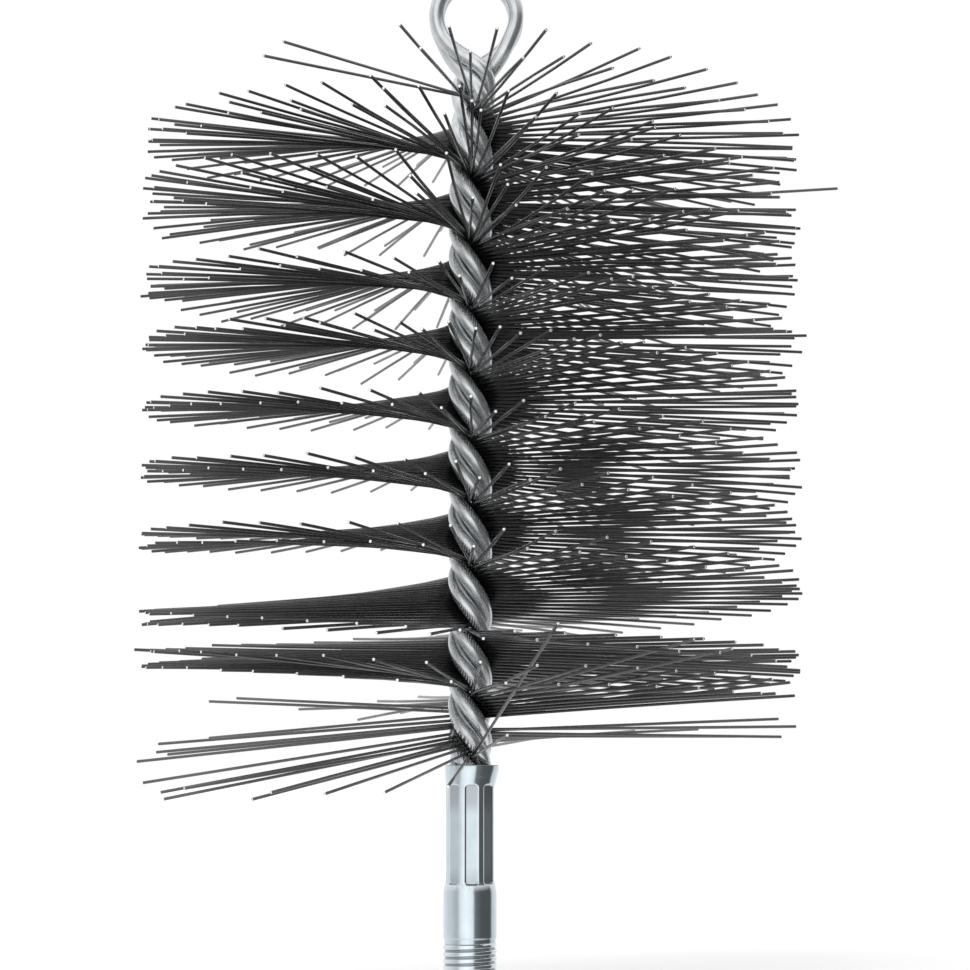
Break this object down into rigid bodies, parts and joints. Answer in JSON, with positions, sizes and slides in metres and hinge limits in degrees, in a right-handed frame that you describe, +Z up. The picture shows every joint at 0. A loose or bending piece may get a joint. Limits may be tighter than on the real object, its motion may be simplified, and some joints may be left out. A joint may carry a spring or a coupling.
{
  "type": "chimney sweep brush",
  "caption": "Round twisted-in-wire flue brush: stiff steel bristles in a screw round a twisted stem, with a pull loop at one end and a threaded ferrule at the other.",
  "frame": {"origin": "centre of the flat end face of the ferrule's thread", "axes": "+Z up the stem towards the pull loop, -Y to the front, +X to the right seen from the front, with the pull loop in the X-Z plane"},
  "size_m": [0.1961, 0.1959, 0.3078],
  "materials": {
    "zinc_steel": "bright zinc plate, smooth",
    "stem_wire": "galvanised drawn wire, satin",
    "spring_steel": "dark oil-tempered spring wire, cut ends bright"
  },
  "bodies": {
    "root": {"ferrule": "zinc_steel", "stem_wire_front": "stem_wire", "stem_wire_rear": "stem_wire", "bristles_bottom": "spring_steel", "bristles_lower": "spring_steel", "bristles_upper": "spring_steel", "bristles_top": "spring_steel"}
  },
  "joints": []
}
